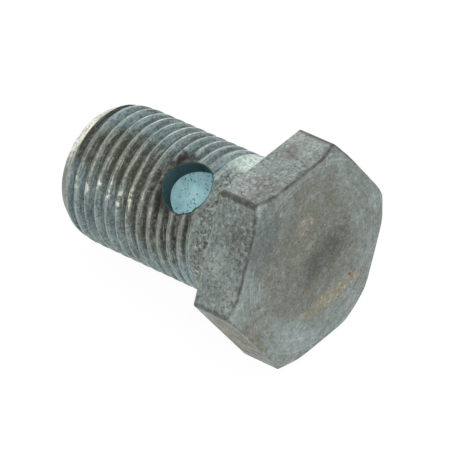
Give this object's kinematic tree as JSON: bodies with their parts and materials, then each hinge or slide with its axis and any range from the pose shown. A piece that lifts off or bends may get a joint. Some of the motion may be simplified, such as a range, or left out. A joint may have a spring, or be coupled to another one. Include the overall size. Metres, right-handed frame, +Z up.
{
  "type": "overflow bolt",
  "caption": "Hollow hexagon-head bolt for an overflow line, with a fine outside thread, an open bored tip and a cross hole through the shank.",
  "frame": {"origin": "where the axis of the bore meets the axis of the cross hole, 7.55 mm below the seat under the head", "axes": "+Z up as the bolt lies at rest; +X level, over the bolt's axis, from the tip towards the head, so the axis climbs 7.6 degrees from tip to head; +Y level, across the bolt"},
  "size_m": [0.032, 0.0254, 0.0225],
  "materials": {
    "zinc_plated_steel": "dull blue-grey zinc plating, worn, with brown residue in the thread and round the cross hole"
  },
  "bodies": {
    "root": {"overflow_bolt": "zinc_plated_steel"}
  },
  "joints": []
}
